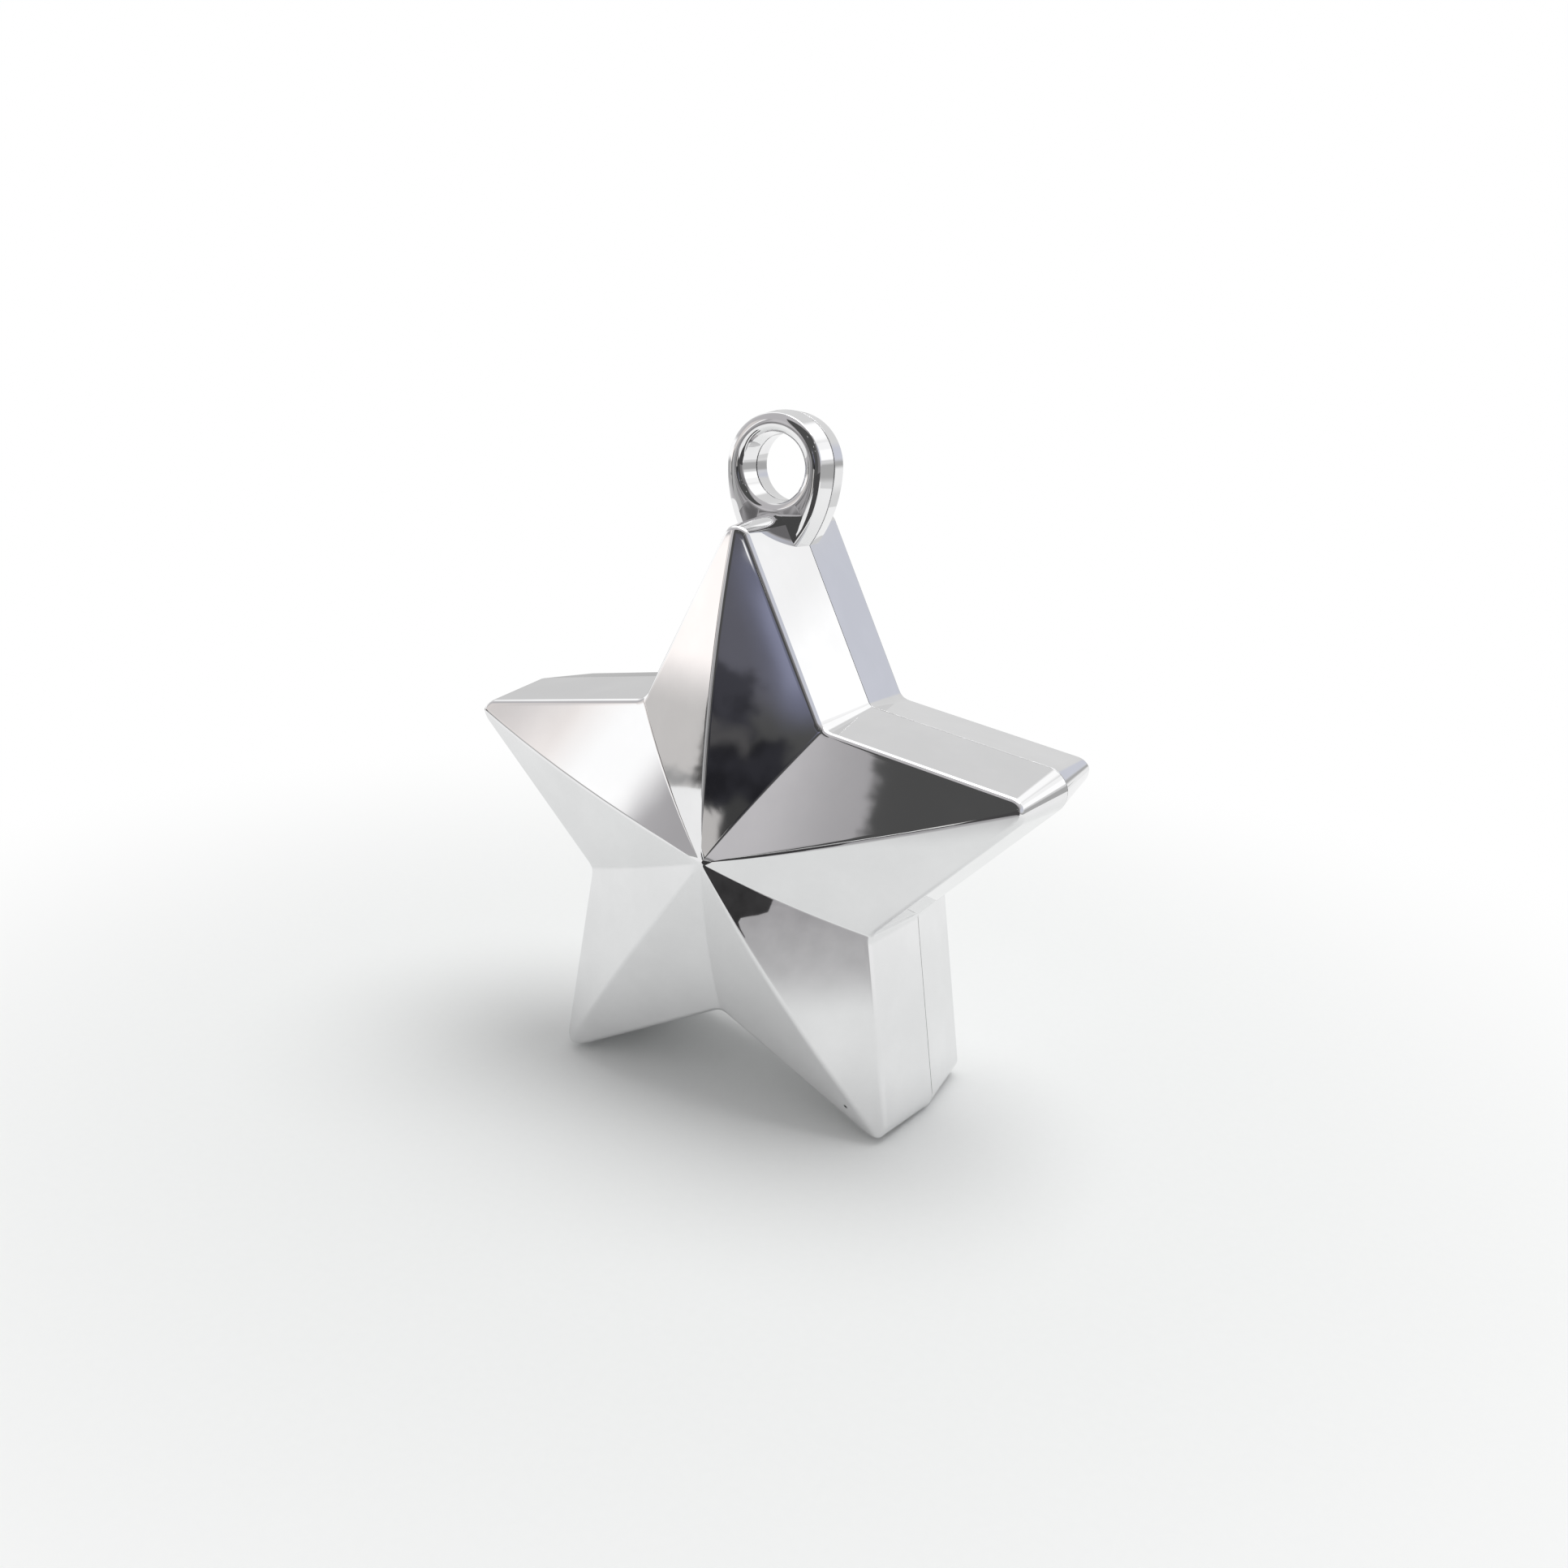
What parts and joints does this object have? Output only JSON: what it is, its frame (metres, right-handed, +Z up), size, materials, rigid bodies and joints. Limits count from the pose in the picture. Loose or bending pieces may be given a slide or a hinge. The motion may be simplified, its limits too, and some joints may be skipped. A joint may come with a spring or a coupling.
{
  "type": "balloon weight",
  "caption": "Faceted star balloon weight: mirror-plated half shells glued shut round cast mortar, standing on its lower arms, with a drop-shaped ribbon loop on top.",
  "frame": {"origin": "on the surface that the star stands on, midway between its feet and on the seam between the shells", "axes": "+Z up from the feet to the ribbon loop, +X to the right seen from the front, the front facets face -Y"},
  "size_m": [0.0894, 0.0386, 0.0982],
  "materials": {
    "plated_plastic": "mirror-bright silver plating over moulded plastic",
    "mortar": "rough cast cement mortar",
    "glue": "clear set glue"
  },
  "bodies": {
    "root": {"front_shell": "plated_plastic", "rear_shell": "plated_plastic", "front_ballast": "mortar", "rear_ballast": "mortar", "seam_glue": "glue"}
  },
  "joints": []
}
